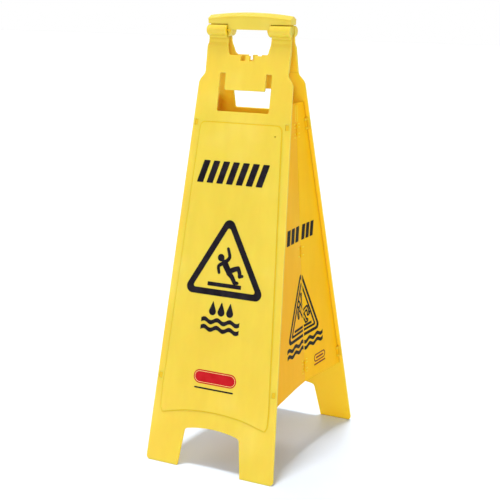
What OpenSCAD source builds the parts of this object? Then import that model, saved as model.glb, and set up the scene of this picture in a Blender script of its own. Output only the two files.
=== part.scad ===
// Four-sided folding wet floor sign, standing open.
// Origin: middle of the footprint on the floor, +Z up, front panel at -Y.

/* [Overall] */
// Width across the feet of a big panel
foot_w = 305; // [300:1:310]
// Depth across the soles, front to rear
depth = 406; // [404:1:408]
// Lean of the big panels from the vertical, degrees
lean = 12.26; // [12.2:0.02:12.3]
// Thickness of a big panel
panel_t = 4; // [3.6:0.1:4.4]
// Height of the raised label plate over the border
label_h = 1.4; // [0.6:0.1:1.4]

/* [Openings] */
// Half width of the leg opening at the floor
leg_half = 76; // [72:1:78]
// Crown of the leg arch, along the panel
leg_top = 90; // [86:1:94]
// Half width of the window
win_half = 61; // [58:1:64]
// Lower edge of the window, along the panel
win_low = 753.5; // [750:0.5:757]
// Upper edge of the window, along the panel
win_high = 833; // [830:0.5:836]
// Half width of the tab that hangs in the window
tab_half = 47; // [44:1:49]
// Lower edge of the tab, along the panel
tab_low = 798; // [792:1:806]
// Bottom of the hand opening, along the panel
hand_low = 870; // [866:1:874]

/* [Side leaves] */
// Thickness of a side leaf
leaf_t = 2.2; // [1.8:0.1:2.6]
// Bottom of a leaf at its panel
leaf_low = 150; // [146:1:154]
// Bottom of a leaf at the fold
leaf_low_fold = 157; // [153:1:160]
// Top of a leaf
leaf_top = 756; // [750:1:760]

/* [Top hinge] */
// Distance of each top pivot from the middle plane
pivot_y = 9.5; // [9.3:0.1:9.7]
// Height of the top pivots
pivot_z = 900; // [899:0.5:901]
// Outer radius of a knuckle
knuckle_r = 11.3; // [10.8:0.1:11.6]
// Radius of a top hinge pin
top_pin_r = 3.2; // [3:0.1:3.4]

/* [Hidden] */
$fn = 64;

c_panel = "#F2D84A";
c_leaf = "#EFC23C";
c_clip = "#E0B030";
c_pin = "#D8A82C";

half_d = depth / 2;
half_w = foot_w / 2;
sl = sin(lean);
cl = cos(lean);
slope = 0.0531;        // a panel edge moves in this much per mm up the panel
axis_in = 8.6;         // attach axis, distance behind the outer face
attach_x0 = 136;       // attach axis, x at attach_s0
attach_s0 = 153.5;
clip_s = [185, 728];   // clip positions up the panel
fold_z = [192, 444, 701];   // heights of the fold hinges
run = 0.05;            // radial clearance of a running fit
edge_pin_r = 1.5;
fold_pin_r = 1.2;
open_bore_r = 5.9;     // front knuckles: an open pivot with play
open_bore_y = 8.5;
shoulder_s = 812;      // where the tapered plate turns in to the posts
post_s = 838;          // foot of the thick posts
post_end = 918;        // top of the posts
post_t = 6;            // how far the posts reach behind the outer face
hand_half = 39.2;      // centre of the rounded lower corners of the hand opening
leg_corner = 58.9;     // centre of the rounded upper corners of the leg opening
leg_arch_r = 260;      // crown radius of the leg opening
label_s0 = 144;        // straight sides of the label plate, lower end
label_s1 = 729;        // top edge of the label plate
label_x0 = 127.5;      // half width of the label plate at its lower end
label_x1 = 93.9;       // and at its top edge
knuckle_x = 50.4;      // inner end of a knuckle
knuckle_len = 44.2;    // length of its round part
knuckle_chamfer = 1.6;
handle_x = 95.8;       // half length of the handle
wall_x = 49.3;         // half length of the grip and its lugs
wall_y = 11.4;         // half depth of the handle's side walls
wall_z = 912.9;        // underside of the walls, over the knuckles
grip_z = 901.8;        // underside of the grip
ridge_z = 936.5;       // top of the roof in the middle
ridge_r = 727;         // bend radius of the roof
web_x = 42.6;          // inner end of the central web
top_pin_x = 43.3;      // inner end of a top hinge pin
top_pin_len = 50.7;
leaf_boss_r = 2.9;     // barrel of a leaf in its clip
fold_barrel_r = 2.8;   // barrels on the fold line
hook_r = 4.4;          // open hook of the left rear leaf

// x of the attach axis at a distance s up the panel
function attach_x(s) = attach_x0 - slope * (s - attach_s0);
// a point given on the rear panel: x, distance up the panel, distance out of its outer face
function on_rear(x, s, n) = [x, half_d - s * sl + n * cl, s * cl + n * sl];
function unit(v) = v / norm(v);
function aim(d) = [0, acos(d.z / norm(d)), atan2(d.y, d.x)];
function euler(ex, ey, ez) = [atan2(ey.z, ez.z), -asin(ex.z), atan2(ex.y, ex.x)];

// right rear leaf: fold axis (m0 to m1), attach axis (r0 to r1)
m0 = [attach_x0 - 7.5, 0, 150];
r0 = on_rear(attach_x(attach_s0), attach_s0, -axis_in);
// both attach axes and the fold axis meet at this point in the middle plane
apex_s = (half_d - axis_in * cl) / sl;
r1 = on_rear(attach_x(apex_s), apex_s, -axis_in);
m1 = r1;
up = unit(m1 - m0);
rd = unit(r1 - r0);
rm = r0 + (r1 - r0) * 0.43;
eu = unit((rm - m0) - up * ((rm - m0) * up));
en = cross(eu, up);
function leaf_u(p) = (p - m0) * eu;
function leaf_v(p) = (p - m0) * up;
// point of the attach axis at a height z, and of the fold axis at a height z
function attach_at(z) = r0 + (r1 - r0) * ((z - r0.z) / (r1.z - r0.z));
function fold_at(z) = m0 + (m1 - m0) * ((z - m0.z) / (m1.z - m0.z));
function clip_p(i) = on_rear(attach_x(clip_s[i]), clip_s[i], -axis_in);

// local frame of a big panel: x, distance up, distance out of the outer face
module at_front() {
    translate([0, -half_d, 0]) rotate([90 - lean, 0, 0]) children();
}
module at_side(side) {
    if (side < 0) at_front() children();
    else rotate([0, 0, 180]) at_front() children();
}
// a profile (distance up, distance out) drawn along x
module along_x(x0, x1) {
    translate([x0, 0, 0]) rotate([90, 0, 90]) linear_extrude(x1 - x0) children();
}

// ---------- big panels ----------
module both_x() {
    children();
    mirror([1, 0, 0]) children();
}
module corner_cut(x, y, r, sx, sy) {
    translate([x, y]) difference() {
        translate([sx > 0 ? -r : -1, sy > 0 ? -r : -1]) square(r + 1);
        translate([-sx * r, -sy * r]) circle(r);
    }
}
module rounded(x0, y0, x1, y1, r) {
    for (x = [x0 + r, x1 - r], y = [y0 + r, y1 - r]) translate([x, y]) circle(r);
    translate([x0 + r, y0]) square([x1 - x0 - 2 * r, y1 - y0]);
    translate([x0, y0 + r]) square([x1 - x0, y1 - y0 - 2 * r]);
}
// a closed outline from its right-hand edge, listed upwards
function both_sides(edge) = concat(edge, [for (i = [len(edge) - 1:-1:0]) [-edge[i].x, edge[i].y]]);
module panel_outline() {
    shoulder_x = half_w - slope * shoulder_s;
    right_edge = [[half_w + 0.16, -3], [shoulder_x, shoulder_s], [shoulder_x - 3, shoulder_s + 7],
        [97.5, 830], [96.2, 836], [97, 888], [95.6, 896], [95.6, post_end]];
    difference() {
        polygon(both_sides(right_edge));
        both_x() corner_cut(half_w - 0.4, 0, 9, 1, -1);
        leg_opening();
        window();
        hand_opening();
    }
}
module leg_opening() {
    polygon(both_sides([[leg_half + 0.2, -4], [66, leg_top - 14], [59, leg_top - 7.2]]));
    both_x() translate([leg_corner, leg_top - 14.2]) circle(7);
    intersection() {
        translate([0, leg_top - leg_arch_r]) circle(leg_arch_r, $fn = 128);
        translate([-leg_corner, leg_top - 10]) square([2 * leg_corner, 12]);
    }
}
module window() {
    difference() {
        rounded(-win_half, win_low, win_half, win_high, 3);
        rounded(-tab_half, tab_low, tab_half, win_high + 10, 3);
    }
}
module hand_opening() {
    polygon(both_sides([[hand_half + 8, hand_low + 8], [50, 890], [50, 930]]));
    both_x() translate([hand_half, hand_low + 8]) circle(8);
    translate([-hand_half, hand_low]) square([2 * hand_half, 9]);
    both_x() translate([4.6, hand_low - 11]) square([11.6, 12]);
}
// outline of the raised label plate
module label_plate() {
    difference() {
        polygon(both_sides([[0, 126.8], [32, 125.6], [68, 122], [122, 109], [127.2, 118],
            [label_x0, label_s0], [label_x1, label_s1]]));
        both_x() corner_cut(label_x1 + 0.3, label_s1, 11, 1, 1);
    }
}
module clip_pocket(i) {
    translate([attach_x(clip_s[i]) + 0.6, clip_s[i], 0]) rotate([0, 0, atan(slope)])
        translate([-4, -6, -panel_t - 3]) cube([8, 12, panel_t + 6]);
}
module panel_body() {
    difference() {
        union() {
            translate([0, 0, -panel_t]) linear_extrude(panel_t) panel_outline();
            translate([0, 0, -0.4]) linear_extrude(label_h + 0.4) label_plate();
            // posts are thicker than the plate
            translate([0, 0, -post_t]) linear_extrude(5) intersection() {
                panel_outline();
                translate([-120, post_s]) square([240, 90]);
            }
        }
        // sloped band and recessed neck under the knuckles
        along_x(-120, 120) polygon([[888, 0], [886, 2], [930, 2], [930, -2.4], [896.5, -2.4]]);
        both_x() for (i = [0, 1]) clip_pocket(i);
        // small drain holes under the knuckles
        both_x() translate([78, 906.8, -9]) cylinder(r = 1.5, h = 9, $fn = 24);
        // small vent hole in the plate
        translate([81.7, 708, -10]) cylinder(r = 1.5, h = 20, $fn = 24);
    }
}
module knuckles(side) {
    // barrels with chamfered outer ends
    both_x() translate([knuckle_x, side * pivot_y, pivot_z]) rotate([0, 90, 0]) {
        cylinder(r = knuckle_r, h = knuckle_len, $fn = 96);
        translate([0, 0, knuckle_len])
            cylinder(r1 = knuckle_r, r2 = knuckle_r - knuckle_chamfer, h = knuckle_chamfer, $fn = 96);
    }
}
module neck_rib(side) {
    // short gusset from the post up into the knuckle
    for (sx = [-1, 1]) translate([sx < 0 ? -94.4 : 52, 0, 0]) rotate([90, 0, 90])
        linear_extrude(42.4) polygon([[side * 6.2, 884], [side * 10, 884], [side * 13, 897],
            [side * 6.2, 900]]);
}
module trim(side) {
    // floor plane, and the flat side of the knuckles towards the handle web
    translate([-400, -400, -60]) cube([800, 800, 60]);
    translate([-120, side < 0 ? -5.2 : -14.8, 872]) cube([240, 20, 60]);
}
module big_panel(side, bore_y, bore_r) {
    color(c_panel) difference() {
        union() {
            at_side(side) panel_body();
            knuckles(side);
            neck_rib(side);
        }
        trim(side);
        for (sx = [-1, 1]) translate([sx < 0 ? -94.6 : 49, bore_y, pivot_z])
            rotate([0, 90, 0]) cylinder(r = bore_r, h = 45.6);
    }
}
module front_panel() {
    big_panel(-1, -open_bore_y, open_bore_r);
}
module rear_panel() {
    big_panel(1, pivot_y, top_pin_r + run);
}

// ---------- handle ----------
module handle_arch() {
    // half profile: drop below the ridge, distance from the middle plane
    roof = [[0, 0], [0.6, 1.5], [5.8, 11.6], [6.8, 12.6], [8, 12.6], [8.8, wall_y], [16, wall_y]];
    translate([0, 0, ridge_z - ridge_r]) rotate([90, 0, 0]) rotate([0, 0, 81])
        rotate_extrude(angle = 18, $fn = 360) polygon(concat(
            [for (p = roof) [ridge_r - p.x, p.y]],
            [for (i = [len(roof) - 1:-1:1]) [ridge_r - roof[i].x, -roof[i].y]]));
}
module handle() {
    color(c_panel) difference() {
        union() {
            intersection() {
                handle_arch();
                translate([-handle_x, -20, 880]) cube([2 * handle_x, 40, 80]);
            }
            // side walls: over the knuckles, and down around the grip between the posts
            translate([0, wall_y, 0]) rotate([90, 0, 0]) linear_extrude(2 * wall_y) {
                translate([-handle_x + 0.5, wall_z]) square([2 * handle_x - 1, 8]);
                translate([-wall_x, grip_z]) square([2 * wall_x, 22]);
                // lugs that hold the pins
                both_x() polygon([[38, grip_z], [41.4, grip_z], [42, 897.2], [44, 892], [46.4, 889],
                    [wall_x, 887.5], [wall_x, 915], [38, 915]]);
            }
            // central web between the front and rear knuckles
            both_x() translate([web_x, -1.5, 891]) cube([handle_x - web_x, 3, 30]);
        }
        // cut lower corners of the web
        for (sx = [-1, 1]) translate([sx * handle_x, 0, 891]) rotate([90, 45, 0])
            translate([-3, -3, -5]) cube([6, 6, 10]);
        // blind bores for the four pins
        for (sx = [-1, 1], sy = [-1, 1]) translate([sx < 0 ? -50 : top_pin_x, sy * pivot_y, pivot_z])
            rotate([0, 90, 0]) cylinder(r = top_pin_r, h = 50 - top_pin_x);
    }
}
module top_pin(sx, sy) {
    color(c_pin) translate([sx < 0 ? -top_pin_x - top_pin_len : top_pin_x, sy * pivot_y, pivot_z])
        rotate([0, 90, 0]) cylinder(r = top_pin_r, h = top_pin_len);
}

// ---------- side leaves ----------
module at_leaf() {
    translate(m0) rotate(euler(eu, up, en)) children();
}
module rod(p, d, r, len) {
    translate(p) rotate(aim(d)) translate([0, 0, -len / 2]) cylinder(r = r, h = len, $fn = 40);
}
// kind 0: two outer barrels; 1: one middle barrel; 2: one open hook; 3: two outer barrels, wide play
module leaf(kind) {
    edge = kind < 2 ? 0.35 : 1.3;
    ra = attach_at(leaf_low);
    rb = attach_at(leaf_top);
    difference() {
        union() {
            difference() {
                at_leaf() translate([0, 0, -leaf_t]) linear_extrude(leaf_t) polygon([
                    [edge, leaf_v(fold_at(leaf_low_fold))],
                    [leaf_u(ra) * 0.3, leaf_v(fold_at(leaf_low_fold)) - 0.9],
                    [leaf_u(ra) - 16, leaf_v(ra) + 0.6],
                    [leaf_u(ra) + 2.6, leaf_v(ra)],
                    [leaf_u(rb) + 2.6, leaf_v(rb)],
                    [edge, leaf_v(fold_at(leaf_top))]
                ]);
                // room for the clips
                for (i = [0, 1]) rod(clip_p(i), rd, 4.2, 24.4);
                for (i = [0, 1]) at_leaf()
                    translate([leaf_u(clip_p(i)) - 0.5, leaf_v(clip_p(i)) - 12.6, -8]) cube([9, 25.2, 16]);
                // room for the barrels of the other leaf
                for (z = fold_z) fold_room(kind, z);
            }
            for (i = [0, 1]) {
                rod(clip_p(i), rd, leaf_boss_r, 14);
                at_leaf() translate([leaf_u(clip_p(i)) - 6, leaf_v(clip_p(i)) - 5.6, -leaf_t])
                    cube([6, 11.2, leaf_t]);
            }
            for (z = fold_z) fold_barrels(kind, z);
            // low stiffening bead along the top and bottom edges
            at_leaf() translate([9, leaf_v(fold_at(leaf_top)) - 5, -leaf_t - 1]) cube([20, 2, 1.2]);
        }
        for (i = [0, 1]) rod(clip_p(i), rd, edge_pin_r + run, 20);
        for (z = fold_z) fold_bores(kind, z);
    }
}
module at_fold(z) {
    at_leaf() translate([0, leaf_v(fold_at(z)), 0]) children();
}
// cylinder on the fold axis between v0 and v1
module fold_cyl(r, v0, v1) {
    translate([0, v0, 0]) rotate([-90, 0, 0]) cylinder(r = r, h = v1 - v0, $fn = 40);
}
module fold_barrels(kind, z) {
    if (kind == 0 || kind == 3) at_fold(z) for (v = [-11, 4.3]) {
        fold_cyl(fold_barrel_r, v, v + 6.7);
        translate([0, v, -leaf_t]) cube([6.5, 6.7, leaf_t]);
    }
    if (kind == 1) at_fold(z) {
        fold_cyl(fold_barrel_r, -3.8, 3.8);
        translate([0, -3.8, -leaf_t]) cube([6.5, 7.6, leaf_t]);
    }
    if (kind == 2) at_fold(z) {
        difference() {
            fold_cyl(hook_r, -2.8, 2.8);
            fold_cyl(2.9, -4, 4);
            translate([-8, -4, -2.9]) cube([8, 8, 5.8]);
            translate([-8, -4, -8]) cube([7, 8, 16]);
        }
        translate([3.2, -2.8, -leaf_t]) cube([4, 5.6, leaf_t]);
    }
}
module fold_bores(kind, z) {
    if (kind == 0 || kind == 3) at_fold(z) fold_cyl(fold_pin_r, -12, 12);
    if (kind == 1) at_fold(z) fold_cyl(fold_pin_r + run, -6, 6);
}
module fold_room(kind, z) {
    if (kind == 0) at_fold(z) translate([-1, -4.3, -8]) cube([5.4, 8.6, 16]);
    if (kind == 1) at_fold(z) for (v = [-11.5, 3.8]) translate([-1, v, -8]) cube([5.4, 7.7, 16]);
    if (kind == 2) at_fold(z) for (v = [-12.6, 2.8]) translate([-1, v, -8]) cube([6.4, 9.8, 16]);
    if (kind == 2) at_fold(z) translate([-1, -2.8, -8]) cube([4.2, 5.6, 16]);
    if (kind == 3) at_fold(z) translate([-1, -4.3, -8]) cube([7.6, 8.6, 16]);
}
// the leaf is drawn at the right rear; the others are its mirror images
module place_leaf(right, rear) {
    mirror([right ? 0 : 1, 0, 0]) mirror([0, rear ? 0 : 1, 0]) children();
}
module fold_pin(right, i) {
    color(c_pin) place_leaf(right, right) at_fold(fold_z[i]) fold_cyl(fold_pin_r, -11, 11);
}

// ---------- edge clips ----------
// clip frame: y along the attach axis, z out of the panel
module at_clip(i) {
    translate([attach_x(clip_s[i]), clip_s[i], -axis_in]) rotate([0, 0, atan(slope)]) children();
}
module clip_shape(i) {
    gap = axis_in - panel_t;
    at_clip(i) difference() {
        union() {
            translate([-5.4, -12, gap - 1.2]) cube([11.4, 24, 1.2]);
            // plug in the pocket, with two small ribs on its face
            translate([-3.1, -5.7, gap - 0.4]) cube([7.4, 11.4, 3.6]);
            for (y = [-2.8, 1.6]) translate([-2.2, y, gap]) cube([5.6, 1.2, 3.8]);
            for (y = [-11.8, 7.4]) translate([0, y, 0]) {
                rotate([-90, 0, 0]) cylinder(r = 3.3, h = 4.4, $fn = 40);
                translate([-3.3, 0, 0]) cube([6.6, 4.4, gap - 0.6]);
            }
        }
        translate([0, -13, 0]) rotate([-90, 0, 0]) cylinder(r = edge_pin_r, h = 26, $fn = 40);
    }
}
// the clip is drawn on the front panel's right edge
module place_clip(right, rear) {
    mirror([right ? 0 : 1, 0, 0]) mirror([0, rear ? 1 : 0, 0]) at_front() children();
}
module clip(right, rear, i) {
    color(c_clip) place_clip(right, rear) clip_shape(i);
}
module edge_pin(right, rear, i) {
    color(c_pin) place_clip(right, rear) at_clip(i)
        translate([0, -11.8, 0]) rotate([-90, 0, 0]) cylinder(r = edge_pin_r, h = 23.6, $fn = 40);
}

handle();
top_pin(-1, -1);  // top_pin_front_left
top_pin(1, -1);  // top_pin_front_right
top_pin(-1, 1);  // top_pin_rear_left
top_pin(1, 1);  // top_pin_rear_right
front_panel();
rear_panel();
color(c_leaf) place_leaf(true, true) leaf(0);  // right_rear_leaf
color(c_leaf) place_leaf(true, false) leaf(1);  // right_front_leaf
color(c_leaf) place_leaf(false, true) leaf(2);  // left_rear_leaf
color(c_leaf) place_leaf(false, false) leaf(3);  // left_front_leaf
fold_pin(true, 0);  // fold_pin_right_low
fold_pin(true, 1);  // fold_pin_right_mid
fold_pin(true, 2);  // fold_pin_right_top
fold_pin(false, 0);  // fold_pin_left_low
fold_pin(false, 1);  // fold_pin_left_mid
fold_pin(false, 2);  // fold_pin_left_top
clip(true, true, 0);  // clip_rear_right_low
clip(true, true, 1);  // clip_rear_right_top
clip(false, true, 0);  // clip_rear_left_low
clip(false, true, 1);  // clip_rear_left_top
clip(true, false, 0);  // clip_front_right_low
clip(true, false, 1);  // clip_front_right_top
clip(false, false, 0);  // clip_front_left_low
clip(false, false, 1);  // clip_front_left_top
edge_pin(true, true, 0);  // edge_pin_rear_right_low
edge_pin(true, true, 1);  // edge_pin_rear_right_top
edge_pin(false, true, 0);  // edge_pin_rear_left_low
edge_pin(false, true, 1);  // edge_pin_rear_left_top
edge_pin(true, false, 0);  // edge_pin_front_right_low
edge_pin(true, false, 1);  // edge_pin_front_right_top
edge_pin(false, false, 0);  // edge_pin_front_left_low
edge_pin(false, false, 1);  // edge_pin_front_left_top
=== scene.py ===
# Looks of the four-sided folding wet floor sign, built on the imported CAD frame.
import bmesh
import bpy
import math
from mathutils import Matrix, Vector


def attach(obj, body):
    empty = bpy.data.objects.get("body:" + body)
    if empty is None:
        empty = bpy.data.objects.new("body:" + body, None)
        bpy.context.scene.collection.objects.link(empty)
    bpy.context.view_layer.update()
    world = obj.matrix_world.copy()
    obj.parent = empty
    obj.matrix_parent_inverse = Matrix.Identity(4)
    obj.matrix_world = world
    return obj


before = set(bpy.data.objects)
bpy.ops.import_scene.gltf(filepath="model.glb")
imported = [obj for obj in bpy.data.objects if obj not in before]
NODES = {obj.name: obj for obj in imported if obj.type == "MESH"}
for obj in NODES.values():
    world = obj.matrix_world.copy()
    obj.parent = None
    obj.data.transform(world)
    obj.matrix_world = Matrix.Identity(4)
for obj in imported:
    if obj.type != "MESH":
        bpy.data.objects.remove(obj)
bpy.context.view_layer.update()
scene = bpy.context.scene

# ------------------------------------------------------------------ geometry of the sign, metres
HALF_D = 0.203          # half the depth over the feet
LEAN = math.radians(12.26)
LABEL = 0.0014          # height of the raised label plate
ATTACH_X0 = 0.136       # a leaf's attach line: half width at its foot,
ATTACH_S0 = 0.1535      # distance up the panel of its foot,
SLOPE = 0.0531          # run inwards for each metre up the panel,
AXIS_IN = 0.0086        # depth of its hinge axis behind the panel's outer face
FOLD_IN = 0.0075        # foot of the fold line: distance inside the attach line's foot,
FOLD_FOOT_Z = 0.150     # and height
PLANE_SHARE = 0.43      # share of the attach line at which the leaf's plane is taken


def panel_matrix(side):
    """Panel coordinates (x, distance up, distance out) to the row frame; side -1 front, 1 rear."""
    m = Matrix.Translation((0, -HALF_D, 0)) @ Matrix.Rotation(math.pi / 2 - LEAN, 4, "X")
    return m if side < 0 else Matrix.Rotation(math.pi, 4, "Z") @ m


def on_rear(x, s, n):
    """Point of the rear panel in the row frame: x, distance up, distance out."""
    return Vector((x, HALF_D - s * math.sin(LEAN) + n * math.cos(LEAN),
                   s * math.cos(LEAN) + n * math.sin(LEAN)))


# the attach line runs from R0 to R1, the fold line from M0 to R1
APEX_S = (HALF_D - AXIS_IN * math.cos(LEAN)) / math.sin(LEAN)
R0 = on_rear(ATTACH_X0, ATTACH_S0, -AXIS_IN)
R1 = on_rear(ATTACH_X0 - SLOPE * (APEX_S - ATTACH_S0), APEX_S, -AXIS_IN)
M0 = Vector((ATTACH_X0 - FOLD_IN, 0, FOLD_FOOT_Z))


def leaf_matrix(right, rear):
    """Leaf coordinates (distance from the fold line, distance up it, distance out) to the row frame."""
    up = (R1 - M0).normalized()
    rm = R0 + (R1 - R0) * PLANE_SHARE
    eu = (rm - M0)
    eu = (eu - up * eu.dot(up)).normalized()
    en = eu.cross(up)
    m = Matrix.Translation(M0) @ Matrix((eu, up, en)).transposed().to_4x4()
    mir = Matrix.Diagonal((1 if right else -1, 1 if rear else -1, 1, 1))
    return mir @ m


# ------------------------------------------------------------------ materials
MIX_SOCKETS = (0, 6, 7)             # factor and the two colours of a colour mix node
MIX_RESULT = 2
GRAIN = 900.0                       # fine spark texture of the plastic
GRAIN_BUMP = 0.05
STREAK_STRETCH = (1.0, 1.0, 0.22)   # flow streaks run upwards
PAINTED_SHADE_REACH = 0.0042               # distance over which the painted shade reaches out of a corner or crease
# colour of the painted crease shade, as a share of the deep colour
PAINTED_SHADE_TINT = (0.92, 0.82, 0.14)
EDGE_ROUND = 0.0011                 # rounding that the shading gives to sharp edges
WEAR_WIDTH = 0.0012                 # width of the scuffed edges
EDGE_GAIN = 6.0
INNER_FROM = -0.02                  # faces turned inwards by this much take the full painted inner light colour
INNER_SHARE = 0.85
PLASTIC_IOR = 1.49
GLOW_TINT = (1.0, 0.42, 0.08)       # light passes through the thin wall, red furthest
GLOW_REACH = 0.012
INK_ROUGH = 0.38
INK_GLOSS = 0.03


def nodes_of(mat):
    """Node tree that holds one principled shader joined to the output."""
    mat.use_nodes = True
    nt = mat.node_tree
    nt.nodes.clear()
    out = nt.nodes.new("ShaderNodeOutputMaterial")
    b = nt.nodes.new("ShaderNodeBsdfPrincipled")
    nt.links.new(b.outputs[0], out.inputs[0])
    return nt, b


def noise(nt, coord, scale, detail=3.0, rough=0.55):
    n = nt.nodes.new("ShaderNodeTexNoise")
    n.inputs["Scale"].default_value = scale
    n.inputs["Detail"].default_value = detail
    n.inputs["Roughness"].default_value = rough
    nt.links.new(coord, n.inputs["Vector"])
    return n.outputs["Fac"]


def ramp(nt, fac, stops):
    r = nt.nodes.new("ShaderNodeValToRGB")
    el = r.color_ramp.elements
    while len(el) < len(stops):
        el.new(0.5)
    for e, (p, c) in zip(el, stops):
        e.position = p
        e.color = (*c, 1)
    nt.links.new(fac, r.inputs[0])
    return r.outputs[0]


def mix(nt, fac, a, b, kind="MIX"):
    m = nt.nodes.new("ShaderNodeMix")
    m.data_type = "RGBA"
    m.blend_type = kind
    for v, i in zip((fac, a, b), MIX_SOCKETS):
        if isinstance(v, (int, float)):
            m.inputs[i].default_value = v
        elif isinstance(v, tuple):
            m.inputs[i].default_value = (*v, 1)
        else:
            nt.links.new(v, m.inputs[i])
    return m.outputs[MIX_RESULT]


def math_node(nt, op, a, b=0.0, clamp=False):
    m = nt.nodes.new("ShaderNodeMath")
    m.operation = op
    m.use_clamp = clamp
    for v, i in ((a, 0), (b, 1)):
        if isinstance(v, (int, float)):
            m.inputs[i].default_value = v
        else:
            nt.links.new(v, m.inputs[i])
    return m.outputs[0]


def bump_node(nt, height, strength, distance):
    n = nt.nodes.new("ShaderNodeBump")
    n.inputs["Strength"].default_value = strength
    n.inputs["Distance"].default_value = distance
    nt.links.new(height, n.inputs["Height"])
    return n


def edge_mask(nt, radius):
    """1 on corners and edges, 0 on flats: how far a rounded normal leaves the true one."""
    g = nt.nodes.new("ShaderNodeNewGeometry")
    bv = nt.nodes.new("ShaderNodeBevel")
    bv.samples = 4
    bv.inputs["Radius"].default_value = radius
    d = nt.nodes.new("ShaderNodeVectorMath")
    d.operation = "DOT_PRODUCT"
    nt.links.new(bv.outputs[0], d.inputs[0])
    nt.links.new(g.outputs["Normal"], d.inputs[1])
    k = math_node(nt, "SUBTRACT", 1.0, d.outputs["Value"])
    return math_node(nt, "MULTIPLY", k, EDGE_GAIN, clamp=True)


def painted_inner_light_mask(nt):
    """Mask of the painted inner light: 1 where a face looks towards the middle of the sign, in the part's
    own rest coordinates.
    """
    tc = nt.nodes.new("ShaderNodeTexCoord")
    flat = nt.nodes.new("ShaderNodeVectorMath")
    flat.operation = "MULTIPLY"
    nt.links.new(tc.outputs["Object"], flat.inputs[0])
    flat.inputs[1].default_value = (1, 1, 0)
    d = nt.nodes.new("ShaderNodeVectorMath")
    d.operation = "DOT_PRODUCT"
    nt.links.new(flat.outputs[0], d.inputs[0])
    nt.links.new(tc.outputs["Normal"], d.inputs[1])
    r = nt.nodes.new("ShaderNodeMapRange")
    r.inputs["From Min"].default_value = 0.0
    r.inputs["From Max"].default_value = INNER_FROM
    r.inputs["To Min"].default_value = 0.0
    r.inputs["To Max"].default_value = INNER_SHARE
    nt.links.new(d.outputs["Value"], r.inputs["Value"])
    return r.outputs[0]


def plastic(name, base, deep, light, rough=0.42, inner=None, gloss=0.36, glow=0.8, shade=2.3):
    """Moulded plastic: soft cloudy tone, flow streaks, fine spark texture, scuffed edges, painted shade in
    its creases.

    base, deep and light are its colours, and inner is a painted light colour for faces turned to the sign's
    middle, standing for light bounced between its walls.
    """
    mat = bpy.data.materials.new(name)
    nt, b = nodes_of(mat)
    tc = nt.nodes.new("ShaderNodeTexCoord").outputs["Object"]
    mp = nt.nodes.new("ShaderNodeMapping")
    mp.inputs["Scale"].default_value = STREAK_STRETCH
    nt.links.new(tc, mp.inputs["Vector"])
    cloud = noise(nt, tc, 5.0, 2.0)
    streak = noise(nt, mp.outputs[0], 38.0, 3.0)
    col = ramp(nt, cloud, [(0.30, deep), (0.55, base), (0.78, light)])
    col2 = ramp(nt, streak, [(0.35, (0.965, 0.955, 0.93)), (0.65, (1.0, 1.0, 1.0))])
    col = mix(nt, 1.0, col, col2, "MULTIPLY")
    # painted light: faces turned to the sign's middle take the inner colour, a deeper orange standing for
    # light bounced between the walls
    col = mix(nt, painted_inner_light_mask(nt), col, inner or base)
    fine = noise(nt, tc, GRAIN, 2.0, 0.6)
    col = mix(nt, math_node(nt, "MULTIPLY", fine, 0.06), col, deep)
    # painted shade: creases and corners take a deeper, more saturated colour where the occlusion finds walls
    # close by
    ao = nt.nodes.new("ShaderNodeAmbientOcclusion")
    ao.samples = 6
    ao.inputs["Distance"].default_value = PAINTED_SHADE_REACH
    painted_shade = math_node(nt, "MULTIPLY", math_node(nt, "SUBTRACT", 1.0, ao.outputs["AO"]), shade, clamp=True)
    col = mix(nt, painted_shade, col, tuple(c * k for c, k in zip(deep, PAINTED_SHADE_TINT)))
    scuff = noise(nt, tc, 120.0, 5.0, 0.7)
    worn = math_node(nt, "MULTIPLY", edge_mask(nt, WEAR_WIDTH),
                     math_node(nt, "MULTIPLY", scuff, 0.55), clamp=True)
    col = mix(nt, worn, col, light)
    nt.links.new(col, b.inputs["Base Color"])
    patchy = math_node(nt, "MULTIPLY_ADD", noise(nt, tc, 26.0, 4.0, 0.6), 0.16)
    patchy.node.inputs[2].default_value = rough - 0.08
    scuffed = math_node(nt, "MULTIPLY_ADD", scuff, 0.10)
    nt.links.new(patchy, scuffed.node.inputs[2])
    nt.links.new(scuffed, b.inputs["Roughness"])
    b.inputs["IOR"].default_value = PLASTIC_IOR
    b.inputs["Specular IOR Level"].default_value = gloss
    b.inputs["Subsurface Weight"].default_value = glow
    b.inputs["Subsurface Radius"].default_value = GLOW_TINT
    b.inputs["Subsurface Scale"].default_value = GLOW_REACH
    spark = bump_node(nt, fine, GRAIN_BUMP, 0.0004)
    wavy = bump_node(nt, cloud, 0.06, 0.002)
    bv = nt.nodes.new("ShaderNodeBevel")
    bv.samples = 6
    bv.inputs["Radius"].default_value = EDGE_ROUND
    nt.links.new(bv.outputs[0], wavy.inputs["Normal"])
    nt.links.new(wavy.outputs[0], spark.inputs["Normal"])
    nt.links.new(spark.outputs[0], b.inputs["Normal"])
    return mat


def ink(name, base, light):
    """Screen-printed ink: a slightly uneven, grainy film."""
    mat = bpy.data.materials.new(name)
    nt, b = nodes_of(mat)
    tc = nt.nodes.new("ShaderNodeTexCoord").outputs["Object"]
    uneven = noise(nt, tc, 60.0, 4.0, 0.6)
    col = ramp(nt, uneven, [(0.35, base), (0.75, light)])
    grain = noise(nt, tc, 1400.0, 2.0, 0.6)
    col = mix(nt, math_node(nt, "MULTIPLY", grain, 0.10), col, light)
    nt.links.new(col, b.inputs["Base Color"])
    r = math_node(nt, "MULTIPLY_ADD", noise(nt, tc, 200.0, 3.0), 0.14)
    r.node.inputs[2].default_value = INK_ROUGH - 0.07
    nt.links.new(r, b.inputs["Roughness"])
    b.inputs["Specular IOR Level"].default_value = INK_GLOSS
    nt.links.new(bump_node(nt, grain, 0.05, 0.0003).outputs[0], b.inputs["Normal"])
    return mat


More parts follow.
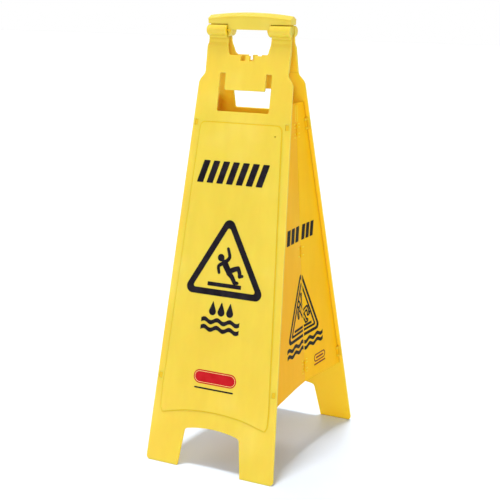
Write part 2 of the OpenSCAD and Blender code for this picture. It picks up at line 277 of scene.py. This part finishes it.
M_PANEL = plastic("panel_plastic", (0.79, 0.585, 0.056), (0.77, 0.558, 0.046), (0.85, 0.66, 0.11),
                  inner=(0.98, 0.640, 0.016), gloss=0.30, glow=0.5)
# painted shade: the leaf plastic is a deeper orange than the panel's, standing for the warmer tone the
# shaded sides take
M_LEAF_PAINTED_SHADE = plastic("leaf_plastic", (0.98, 0.488, 0.006), (0.96, 0.460, 0.004), (0.98, 0.55, 0.02),
                 inner=(0.98, 0.440, 0.008), gloss=0.04, glow=0.35)
# painted shade: the front leaves take a darker, more orange copy of the leaf plastic, standing for the shade
# beside the front panel's edge
M_FRONT_LEAF_PAINTED_SHADE = plastic("front_leaf_painted_shade", (0.95, 0.440, 0.012), (0.92, 0.410, 0.008), (0.97, 0.51, 0.03),
                       inner=(0.98, 0.440, 0.008), gloss=0.04, glow=0.35)
M_HANDLE = plastic("handle_plastic", (0.79, 0.600, 0.058), (0.77, 0.575, 0.046), (0.85, 0.68, 0.13),
                   rough=0.36, glow=0.2)
M_CLIP = plastic("clip_plastic", (0.88, 0.58, 0.03), (0.82, 0.52, 0.02), (0.94, 0.68, 0.09), gloss=0.10,
                 glow=0.0, shade=1.4)
M_PIN = plastic("pin_plastic", (0.86, 0.56, 0.03), (0.80, 0.50, 0.02), (0.90, 0.64, 0.09), gloss=0.15,
                glow=0.0, shade=1.4)
# painted shade: a deeper yellow for the line at the foot of the label plate's step
M_STEP_PAINTED_SHADE = plastic("step_painted_shade", (0.79, 0.535, 0.014), (0.77, 0.510, 0.010), (0.83, 0.58, 0.03), gloss=0.20,
                 glow=0.0, shade=0.4)
# painted highlight: the ribs take a lighter yellow than the leaf they are moulded on, standing for the light
# they catch
M_RIB_PAINTED_LIT = plastic("rib_painted_highlight", (0.98, 0.66, 0.03), (0.96, 0.62, 0.02), (1.0, 0.74, 0.08), gloss=0.06,
                glow=0.0, shade=0.15)
M_INK = ink("black_ink", (0.009, 0.007, 0.010), (0.024, 0.019, 0.026))
M_SIDE_INK = ink("side_black_ink", (0.011, 0.008, 0.004), (0.024, 0.019, 0.010))
M_RED = ink("red_ink", (0.47, 0.009, 0.012), (0.55, 0.016, 0.022))
M_MAROON = ink("maroon_ink", (0.16, 0.012, 0.008), (0.22, 0.022, 0.014))
M_CREAM = ink("cream_ink", (0.86, 0.66, 0.20), (0.90, 0.74, 0.34))


def node_material(name):
    """Material of a CAD node, chosen by its name."""
    if name.startswith("clip"):
        return M_CLIP
    if "pin" in name:
        return M_PIN
    if "leaf" in name:
        # front leaves take the copy with the deeper painted shade
        return M_FRONT_LEAF_PAINTED_SHADE if "front" in name else M_LEAF_PAINTED_SHADE
    if name == "handle":
        return M_HANDLE
    return M_PANEL


for name, o in NODES.items():
    o.data.materials.clear()
    o.data.materials.append(node_material(name))


# ------------------------------------------------------------------ ink shapes in 2D
HEAD_POINTS = 40        # points round a full circle
ROUND_POINTS = 14       # points round the end of a label or a rule
MAX_ROUND_SHARE = 0.48  # a corner's rounding takes at most this share of each edge


def arc(cx, cy, r, a0, a1, n):
    return [(cx + r * math.cos(a0 + (a1 - a0) * i / n), cy + r * math.sin(a0 + (a1 - a0) * i / n))
            for i in range(n + 1)]


def round_poly(pts, r, n):
    """Outline of a polygon with its corners rounded to radius r, or one radius a corner."""
    out = []
    k = len(pts)
    for i in range(k):
        p0, p, p1 = Vector(pts[i - 1]), Vector(pts[i]), Vector(pts[(i + 1) % k])
        ri = r[i] if isinstance(r, (list, tuple)) else r
        a, b = (p0 - p).normalized(), (p1 - p).normalized()
        half = a.angle(b) / 2
        d = min(ri / math.tan(half), MAX_ROUND_SHARE * (p0 - p).length, MAX_ROUND_SHARE * (p1 - p).length)
        rr = d * math.tan(half)
        c = p + (a + b).normalized() * (rr / math.sin(half))
        s, e = p + a * d, p + b * d
        a0, a1 = math.atan2(s.y - c.y, s.x - c.x), math.atan2(e.y - c.y, e.x - c.x)
        while a1 - a0 > math.pi:
            a1 -= 2 * math.pi
        while a1 - a0 < -math.pi:
            a1 += 2 * math.pi
        out += arc(c.x, c.y, rr, a0, a1, n)
    return out


def circle(cx, cy, r):
    turns = [2 * math.pi * i / HEAD_POINTS for i in range(HEAD_POINTS)]
    return [(cx + r * math.cos(a), cy + r * math.sin(a)) for a in turns]


def stroke(points, w, n=8):
    """Outline of a thick round-ended line through the points; w is one width or one a point."""
    k = len(points)
    ws = w if isinstance(w, (list, tuple)) else [w] * k
    path = [Vector(p) for p in points]
    left, right = [], []
    for i in range(k):
        t = (path[min(i + 1, k - 1)] - path[max(i - 1, 0)]).normalized()
        nn = Vector((-t.y, t.x)) * ws[i] / 2
        left.append(path[i] + nn)
        right.append(path[i] - nn)
    t1 = (path[-1] - path[-2]).normalized()
    t0 = (path[1] - path[0]).normalized()
    a1 = math.atan2(t1.x, -t1.y)
    a0 = math.atan2(-t0.x, t0.y)
    out = [tuple(p) for p in left]
    out += arc(path[-1].x, path[-1].y, ws[-1] / 2, a1, a1 - math.pi, n)[1:-1]
    out += [tuple(p) for p in reversed(right)]
    out += arc(path[0].x, path[0].y, ws[0] / 2, a0, a0 - math.pi, n)[1:-1]
    return out


def smooth_path(pts, n):
    """Catmull-Rom points through a short list, n to each stretch."""
    path = [Vector(p) for p in pts]
    path = [path[0] * 2 - path[1]] + path + [path[-1] * 2 - path[-2]]
    out = []
    for i in range(1, len(path) - 2):
        for j in range(n):
            t = j / n
            a, b, c, d = path[i - 1], path[i], path[i + 1], path[i + 2]
            out.append(0.5 * ((2 * b) + (c - a) * t + (2 * a - 5 * b + 4 * c - d) * t * t
                              + (3 * b - a - 3 * c + d) * t ** 3))
    out.append(path[-2])
    return [(p.x, p.y) for p in out]


INK_T = 0.00012             # thickness of an ink film
INK_LIFT = 0.00003          # air under it, so that it never shares a plane with the plastic
STROKE_STEP = 0.000004      # each stroke of a figure lies this much over the one before


def filled_curve(name, outlines, half_thick):
    """Flat filled curve with the outlines (holes allowed), grown half_thick to both sides."""
    cu = bpy.data.curves.new(name, "CURVE")
    cu.dimensions = "2D"
    cu.fill_mode = "BOTH"
    cu.extrude = half_thick
    for o in outlines:
        sp = cu.splines.new("POLY")
        sp.points.add(len(o) - 1)
        for p, (x, y) in zip(sp.points, o):
            p.co = (x, y, 0, 1)
        sp.use_cyclic_u = True
    return cu


def settle(name, cu, matrix, zc, mat, body):
    """Turn a filled curve into a mesh on the matrix's plane, riding on a body."""
    tmp = bpy.data.objects.new(name + "_c", cu)
    scene.collection.objects.link(tmp)
    bpy.context.view_layer.update()
    me = bpy.data.meshes.new_from_object(tmp)
    bpy.data.objects.remove(tmp)
    me.name = name
    me.transform(Matrix.Translation((0, 0, zc)))
    me.transform(matrix)
    if matrix.determinant() < 0:
        me.flip_normals()
    ob = bpy.data.objects.new(name, me)
    scene.collection.objects.link(ob)
    me.materials.clear()
    me.materials.append(mat)
    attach(ob, body)


def film(name, outlines, matrix, z, thick, mat, body):
    """A thin flat film with the outlines, standing on height z of the matrix's plane."""
    settle(name, filled_curve(name, outlines, thick / 2), matrix, z + thick / 2, mat, body)


def rect(x0, y0, x1, y1, r):
    return round_poly([(x0, y0), (x1, y0), (x1, y1), (x0, y1)], r, 4)


# ------------------------------------------------------------------ printed graphics, in panel coordinates
BAR_ROUND = 0.0014
DROP_TIP = 0.0007       # radius of a drop's tip


def hazard_bars(x0, x1, y0, y1, count, lean_x, fill=0.64):
    """A band of slanted bars."""
    step = (x1 - x0 - lean_x) / (count - 1 + fill)
    w = step * fill
    out = []
    for i in range(count):
        a = x0 + i * step
        out.append(round_poly([(a, y0), (a + w, y0), (a + w + lean_x, y1), (a + lean_x, y1)], BAR_ROUND, 4))
    return out


def wave_band(x0, x1, yc, amp, w, waves):
    """Ribbon of constant upright thickness that follows a sine."""
    n = waves * 14
    xs = [x0 + (x1 - x0) * i / n for i in range(n + 1)]
    ys = [yc + amp * math.sin(2 * math.pi * waves * i / n) for i in range(n + 1)]
    line = list(zip(xs, ys))
    return [(x, y - w / 2) for x, y in line] + [(x, y + w / 2) for x, y in reversed(line)]


def drop(cx, y0, y1, r):
    """Water drop standing between y0 and y1, round below and pointed above."""
    cy = y0 + r
    d = y1 - cy
    th = math.acos(r / d)
    body = arc(cx, cy, r, math.pi / 2 - th, math.pi / 2 + th - 2 * math.pi, 26)
    tip = arc(cx, y1 - DROP_TIP / math.cos(th), DROP_TIP, math.pi / 2 + th, math.pi / 2 - th, 4)
    return body + tip


def triangle(cx, apex, base, half, inset, r):
    """Rounded triangle moved in from a sharp one by the inset."""
    h = apex - base
    b0 = base + inset
    tip = apex - inset * math.hypot(half, h) / half
    hw = (tip - b0) * half / h
    return round_poly([(cx - hw, b0), (cx + hw, b0), (cx, tip)], r, 9)


def figure_strokes(k, cx, cy, thin):
    """A person slipping, as a head disc and thick round limbs, drawn about (cx, cy).

    k scales it, and thin is taken off the width of each stroke.
    """
    def limb(pts, w0, w1, soft=5):
        pp = smooth_path(pts, soft) if len(pts) > 2 else pts
        n = len(pp) - 1
        ww = [(w0 + (w1 - w0) * i / n) * k - thin for i in range(len(pp))]
        return stroke([(cx + x * k, cy + y * k) for x, y in pp], ww)
    return [
        circle(cx - 0.0130 * k, cy + 0.0450 * k, 0.0074 * k - thin / 2),
        limb([(-0.0035, 0.0350), (0.0025, 0.0255), (0.0090, 0.0165)], 0.0135, 0.0125),
        limb([(-0.0015, 0.0370), (0.0070, 0.0480), (0.0020, 0.0650)], 0.0078, 0.0058, 4),
        limb([(-0.0060, 0.0345), (-0.0170, 0.0270), (-0.0150, 0.0140)], 0.0074, 0.0058, 4),
        limb([(0.0090, 0.0180), (0.0190, 0.0235), (0.0290, 0.0270)], 0.0104, 0.0090),
        limb([(0.0290, 0.0270), (0.0335, 0.0180), (0.0340, 0.0105)], 0.0086, 0.0072),
        limb([(0.0340, 0.0105), (0.0400, 0.0120)], 0.0068, 0.0058),
        limb([(0.0080, 0.0150), (0.0160, 0.0080), (0.0235, -0.0035)], 0.0106, 0.0082),
        limb([(0.0235, -0.0035), (0.0300, -0.0035)], 0.0070, 0.0060),
    ]


LABEL_SIDE_X = 0.09     # corners of the label plate further out than this lie on its sides
LABEL_TOP_Y = 0.7       # corners above this lie on its top edge
LABEL_FOOT_Y = 0.115    # side corners below this lie on its bottom edge
LABEL_ROUND = 0.0004


def label_outline(grow):
    """Outline of the raised label plate, grown outwards by grow."""
    # corners of the right half, from the middle of the bottom edge: x, y, radius
    right = [(0.0, 0.1268, 0.0), (0.0320, 0.1256, 0.0), (0.0680, 0.1220, 0.0), (0.1220, 0.1090, 0.001),
             (0.1272, 0.1180, 0.002), (0.1275, 0.1440, 0.0), (0.0939, 0.7290, 0.011)]
    out = []
    radii = []
    for x, y, r in right:
        on_side = x > LABEL_SIDE_X
        if y > LABEL_TOP_Y:
            dy = grow
        elif on_side and y > LABEL_FOOT_Y:
            dy = 0.0
        else:
            dy = -grow
        out.append((x + (grow if on_side else 0.0), y + dy))
        radii.append(r + LABEL_ROUND)
    left = [(-x, y) for x, y in reversed(out[1:])]
    return round_poly(out + left, radii + radii[:0:-1], 5)


def big_panel_print(side, body):
    """Everything printed on a big panel, and a painted shade line at the foot of its label plate."""
    m = panel_matrix(side)
    tag = "front" if side < 0 else "rear"
    z = LABEL + INK_LIFT

    def ink_film(name, outlines, lift=0.0, mat=M_INK, thick=INK_T):
        film(f"{tag}_{name}", outlines, m, z + lift, thick, mat, body)

    for i, b in enumerate(hazard_bars(x0=-0.091, x1=0.077, y0=0.603, y1=0.650, count=7, lean_x=0.014)):
        ink_film(f"bar_{i + 1}", [b])
    cx = -0.0025
    sharp = dict(cx=cx, apex=0.5445, base=0.3700, half=0.0985)
    ink_film("triangle", [triangle(**sharp, inset=0.0, r=0.0140), triangle(**sharp, inset=0.0135, r=0.0045)])
    # painted shade: a deeper yellow ring film at the foot of the label plate's step, standing for the shade
    # line along the step
    step_shade_ring = [label_outline(0.0021), label_outline(-0.0003)]
    film(f"{tag}_label_step_shade", step_shade_ring, m, INK_LIFT, INK_T, M_STEP_PAINTED_SHADE, body)
    for i, p in enumerate(figure_strokes(k=1.0, cx=cx, cy=0.4055, thin=-0.0009)):
        ink_film(f"figure_{i + 1}", [p], STROKE_STEP * i)
    ink_film("floor_bar", [rect(-0.042, 0.3895, 0.0375, 0.3980, 0.0012)])
    for i, x in enumerate((-0.0240, -0.0035, 0.0170)):
        ink_film(f"drop_{i + 1}", [drop(cx=x, y0=0.3285, y1=0.3590, r=0.0082)])
    for i, y in enumerate((0.3165, 0.3005)):
        ink_film(f"wave_{i + 1}", [wave_band(x0=-0.049, x1=0.042, yc=y, amp=0.0030, w=0.0092, waves=3)])
    label = [(-0.0395, 0.1975), (0.0330, 0.1975)]
    line = [stroke(label, 0.0238, ROUND_POINTS), stroke(label, 0.0220, ROUND_POINTS)]
    ink_film("red_label", [stroke(label, 0.0290, ROUND_POINTS)], mat=M_RED)
    ink_film("red_label_line", line, INK_T, M_CREAM, INK_T / 2)
    ink_film("small_line", [stroke([(-0.0490, 0.1735), (0.0410, 0.1735)], 0.0032)])


# side leaves: outlines are drawn as if the side were flat and then split at the fold
# w runs along the side, rear positive, and v up the fold line
FOLD_GAP = 0.0024       # nothing is printed nearer the fold than this
SAME = 1e-9             # distances closer than this are the same
NARROWEST = 0.0025      # a cut piece of print narrower than this is left out


def cut_half(poly, sign):
    """Part of an outline on one side of the fold, as (distance from the fold, v)."""
    q = [(sign * w, v) for w, v in poly]
    out = []
    for i, p in enumerate(q):
        r = q[i - 1]
        if (p[0] >= FOLD_GAP) != (r[0] >= FOLD_GAP):
            k = (FOLD_GAP - r[0]) / (p[0] - r[0])
            out.append((FOLD_GAP, r[1] + (p[1] - r[1]) * k))
        if p[0] >= FOLD_GAP:
            out.append(p)
    return out


def ring_half(outer, inner, sign):
    """C-shaped half of a ring that the fold line crosses."""
    def opened(poly):
        c = cut_half(poly, sign)
        for i in range(len(c)):
            if abs(c[i - 1][0] - FOLD_GAP) < SAME and abs(c[i][0] - FOLD_GAP) < SAME:
                return c[i:] + c[:i]
        return c
    return opened(outer) + opened(inner)[::-1]


def side_print(right):
    """Everything printed on the two leaves of one side."""
    for sign, part in ((1, "rear"), (-1, "front")):
        tag = ("right" if right else "left") + "_" + part
        body = tag + "_leaf"
        m = leaf_matrix(right, sign > 0)
        leaf_mat = M_LEAF_PAINTED_SHADE if sign > 0 else M_FRONT_LEAF_PAINTED_SHADE

        def ink_film(name, poly, lift=0.0, mat=M_SIDE_INK, holes=()):
            xs = [p[0] for p in poly]
            if poly and max(xs) - min(xs) > NARROWEST:
                film(f"{tag}_{name}", [poly, *holes], m, INK_LIFT + lift, INK_T, mat, body)

        x0, x1 = (0.0035, 0.0620) if sign > 0 else (-0.0710, -0.0035)
        for i, b in enumerate(hazard_bars(x0, x1, y0=0.319, y1=0.351, count=3, lean_x=0.007, fill=0.74)):
            ink_film(f"bar_{i + 1}", cut_half(b, sign))
        sharp = dict(cx=-0.0035, apex=0.2560, base=0.1085, half=0.0800)
        for name, out_inset, out_r, in_inset, in_r in (("triangle", 0.0, 0.0095, 0.0068, 0.0058),
                                                       ("triangle_inner", 0.0114, 0.0042, 0.0166, 0.0020)):
            outer = triangle(**sharp, inset=out_inset, r=out_r)
            inner = triangle(**sharp, inset=in_inset, r=in_r)
            ink_film(name, ring_half(outer, inner, sign))
        # the figure is an outline: wide black strokes with narrow leaf-coloured ones over them
        place = dict(k=0.92, cx=-0.0085, cy=0.1430)
        for i, p in enumerate(figure_strokes(**place, thin=-0.0036)):
            ink_film(f"figure_{i + 1}", cut_half(p, sign), STROKE_STEP * i)
        for i, p in enumerate(figure_strokes(**place, thin=0.0050)):
            ink_film(f"figure_fill_{i + 1}", cut_half(p, sign), INK_T * 0.6 + STROKE_STEP * i, leaf_mat)
        floor_bar = [(-0.046, 0.1280), (0.038, 0.1280), (0.038, 0.1335), (-0.046, 0.1335)]
        ink_film("floor_bar", cut_half(floor_bar, sign))
        for i, v in enumerate((0.0965, 0.0830)):
            wave = wave_band(x0=-0.087, x1=0.088, yc=v, amp=0.0028, w=0.0082, waves=5)
            ink_film(f"wave_{i + 1}", cut_half(wave, sign))
        if sign > 0:
            label = [(0.0530, 0.0440), (0.0880, 0.0440)]
            label_hole = stroke(label, 0.0120, ROUND_POINTS)
            ink_film("label", stroke(label, 0.0175, ROUND_POINTS), mat=M_MAROON, holes=[label_hole])
            ink_film("label_bar", stroke([(0.0550, 0.0440), (0.0860, 0.0440)], 0.0036), mat=M_MAROON)
            ink_film("label_line", stroke([(0.0460, 0.0300), (0.0950, 0.0300)], 0.0034), mat=M_MAROON)


PAD_SOFT = 0.00022      # rounding of a boss's top edges
RIB_BASE = -0.0003      # foot of the ribs, sunk into the leaf
RIB_TOP = 0.0007
FOLD_RIB_TOP = 0.00045
FOLD_RIB_SOFT = 0.00018
RIB_ROUND = 0.0007
RIB_NEAR = 0.0072       # a short rib starts and ends at these distances from the fold
RIB_FAR = 0.0128
RIB_HALF = 0.0011       # half the width of a short rib
WEB_R_RIGHT = 0.00033
WEB_R_LEFT = 0.0011
WEB_DROP = 1.05         # depth of a web's centre under the outer face, in radii
WEB_END = 0.25          # a web's radius at its ends, as a share


def pad(name, outline, matrix, z0, z1, mat, body, soft=PAD_SOFT):
    """A low moulded boss with rounded top edges."""
    cu = filled_curve(name, [outline], (z1 - z0) / 2 - soft)
    cu.bevel_depth = soft
    cu.bevel_resolution = 2
    settle(name, cu, matrix, (z0 + z1) / 2, mat, body)


def web(name, v0, v1, r, matrix, body):
    """A thin round strip along the fold from v0 to v1, just below the outer face, with narrower ends."""
    n = 10
    rings = 24
    vs, fs = [], []
    for j in range(rings + 1):
        v = v0 + (v1 - v0) * j / rings
        k = min(1.0, WEB_END + (1 - WEB_END) * min(j, rings - j) / 1.5)
        for i in range(n):
            a = 2 * math.pi * i / n
            vs.append((r * k * math.cos(a), v, r * k * math.sin(a) - r * WEB_DROP))
    for j in range(rings):
        for i in range(n):
            i2 = (i + 1) % n
            fs.append((j * n + i, j * n + i2, (j + 1) * n + i2, (j + 1) * n + i))
    fs.append(tuple(range(n)))
    fs.append(tuple(rings * n + i for i in reversed(range(n))))
    me = bpy.data.meshes.new(name)
    me.from_pydata(vs, [], fs)
    me.transform(matrix)
    me.update()
    bm = bmesh.new()
    bm.from_mesh(me)
    bmesh.ops.recalc_face_normals(bm, faces=bm.faces)
    bm.to_mesh(me)
    bm.free()
    for p in me.polygons:
        p.use_smooth = True
    ob = bpy.data.objects.new(name, me)
    scene.collection.objects.link(ob)
    me.materials.append(M_FRONT_LEAF_PAINTED_SHADE)
    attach(ob, body)


def fold_ribs(right):
    """Short ribs beside each fold hinge, one rib up the fold by the top hinge, and the webs."""
    for part in ("rear", "front"):
        tag = ("right" if right else "left") + "_" + part
        m = leaf_matrix(right, part == "rear")
        # height of each fold hinge, and of its ribs over that
        rows = [(0.2943, (0.0085, -0.0085)), (0.5515, (0.0122, 0.0055, -0.0075, -0.0150)),
                (0.0420, (0.0135, 0.0065, -0.0075, -0.0145))]
        n = 0
        for v0, offs in rows:
            for o in offs:
                n += 1
                short = rect(RIB_NEAR, v0 + o - RIB_HALF, RIB_FAR, v0 + o + RIB_HALF, RIB_ROUND)
                pad(f"{tag}_rib_{n}", short, m, RIB_BASE, RIB_TOP, M_RIB_PAINTED_LIT, tag + "_leaf")
        # a thin web closes the gap along the fold between the hinges
        r_web = WEB_R_RIGHT if right else WEB_R_LEFT
        spans = ((0.0095, 0.0300), (0.0540, 0.2820), (0.3065, 0.5390), (0.5640, 0.6050))
        for i, (va, vb) in enumerate(spans):
            if part == "front":
                web(f"{tag}_fold_web_{i + 1}", va, vb, r_web, m, tag + "_leaf")
        long = rect(0.0030, 0.5685, 0.0052, 0.6025, RIB_ROUND)
        pad(f"{tag}_fold_rib", long, m, RIB_BASE, FOLD_RIB_TOP, M_RIB_PAINTED_LIT, tag + "_leaf",
            FOLD_RIB_SOFT)


big_panel_print(-1, "front_panel")
big_panel_print(1, "rear_panel")
side_print(True)
side_print(False)
fold_ribs(True)
fold_ribs(False)


# ------------------------------------------------------------------ camera, light, floor
CAM_PLACE = (1.14088, -2.14575, 1.03976)
CAM_AIM = (-0.0044, -0.0024, 0.43465)
CAM_ROLL = math.radians(-0.184)
SENSOR_MM = 36.0
LENS_MM = 83.7

cam_data = bpy.data.cameras.new("camera")
cam = bpy.data.objects.new("camera", cam_data)
scene.collection.objects.link(cam)
cam_data.sensor_width = SENSOR_MM
cam_data.lens = LENS_MM
cam_data.clip_end = 50.0
cam.location = CAM_PLACE
aim = Vector(CAM_AIM) - cam.location
cam.rotation_mode = "QUATERNION"
roll = Matrix.Rotation(CAM_ROLL, 4, "Z").to_quaternion()
cam.rotation_quaternion = aim.to_track_quat("-Z", "Y") @ roll
scene.camera = cam


def sun(name, toward, level, angle):
    """Soft even light; level is what it adds to a white surface that faces it."""
    d = bpy.data.lights.new(name, "SUN")
    d.energy = level * math.pi
    d.angle = math.radians(angle)
    o = bpy.data.objects.new(name, d)
    o.rotation_mode = "QUATERNION"
    o.rotation_quaternion = Vector(toward).to_track_quat("Z", "Y")
    o.location = Vector(toward).normalized() * 3
    scene.collection.objects.link(o)


sun("top", (-0.05, -0.04, 1.0), 0.66, 9)
sun("key", (0.31, -0.93, 0.20), 0.235, 14)
sun("left", (-0.80, -0.45, 0.40), 0.10, 30)
sun("back", (-0.45, 0.80, 0.40), 0.30, 30)
sun("right", (0.90, -0.30, 0.30), 0.12, 30)

world = bpy.data.worlds.new("studio")
scene.world = world
world.use_nodes = True
wt = world.node_tree
bg = wt.nodes["Background"]
# white to just above the horizon, dimmer overhead
wz = wt.nodes.new("ShaderNodeSeparateXYZ")
wt.links.new(wt.nodes.new("ShaderNodeTexCoord").outputs["Generated"], wz.inputs[0])
wr = ramp(wt, wz.outputs["Z"], [(0.05, (1.0, 1.0, 1.0)), (0.20, (0.45, 0.45, 0.45))])
wt.links.new(wr, bg.inputs[0])
bg.inputs[1].default_value = 1.0

FLOOR_HALF = 12.0
FLOOR_DROP = 0.0003     # the floor lies this much under the feet
fm = bpy.data.meshes.new("floor")
corners = [(x * FLOOR_HALF, y * FLOOR_HALF, 0) for x, y in ((-1, -1), (1, -1), (1, 1), (-1, 1))]
fm.from_pydata(corners, [], [(0, 1, 2, 3)])
floor = bpy.data.objects.new("floor", fm)
floor.location = (0, 0, -FLOOR_DROP)
scene.collection.objects.link(floor)
mat = bpy.data.materials.new("floor_paper")
nt, b = nodes_of(mat)
tc = nt.nodes.new("ShaderNodeTexCoord").outputs["Object"]
paper = ramp(nt, noise(nt, tc, 3.0, 3.0), [(0.3, (0.77, 0.86, 0.98)), (0.7, (0.79, 0.88, 1.0))])
nt.links.new(paper, b.inputs["Base Color"])
b.inputs["Roughness"].default_value = 0.9
fm.materials.append(mat)

scene.view_settings.view_transform = "Standard"
scene.view_settings.look = "None"
